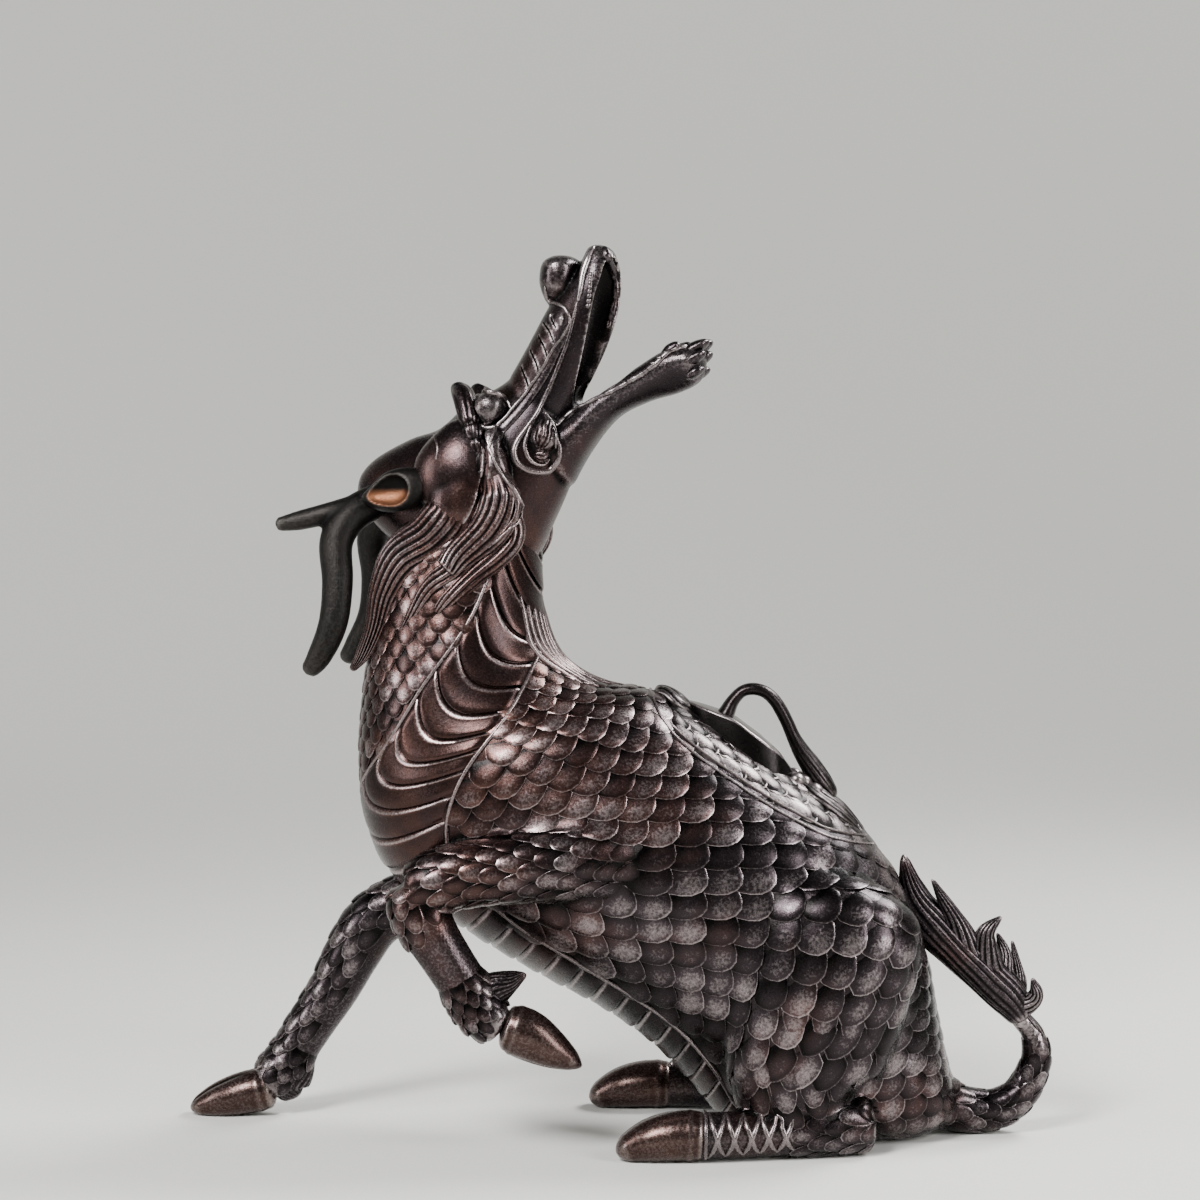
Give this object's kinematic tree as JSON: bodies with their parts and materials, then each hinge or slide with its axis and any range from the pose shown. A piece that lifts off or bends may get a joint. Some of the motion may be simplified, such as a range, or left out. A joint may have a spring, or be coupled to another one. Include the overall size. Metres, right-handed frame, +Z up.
{
  "type": "qilin censer",
  "caption": "Cast bronze censer shaped as a seated scaled qilin, head thrown back and mouth open, with a hollow trunk and a lift-off lid with a loop handle on its back.",
  "frame": {"origin": "on the ground under the middle of the figure's outline, seen from above", "axes": "+Z up, the beast faces -X, and its left flank is towards -Y"},
  "size_m": [0.3956, 0.1306, 0.4],
  "materials": {
    "bronze": "dark brown patina, satin, worn on the high points",
    "lid_bronze": "paler worn patina, satin"
  },
  "bodies": {
    "root": {"figure": "bronze", "lid": "lid_bronze"}
  },
  "joints": []
}
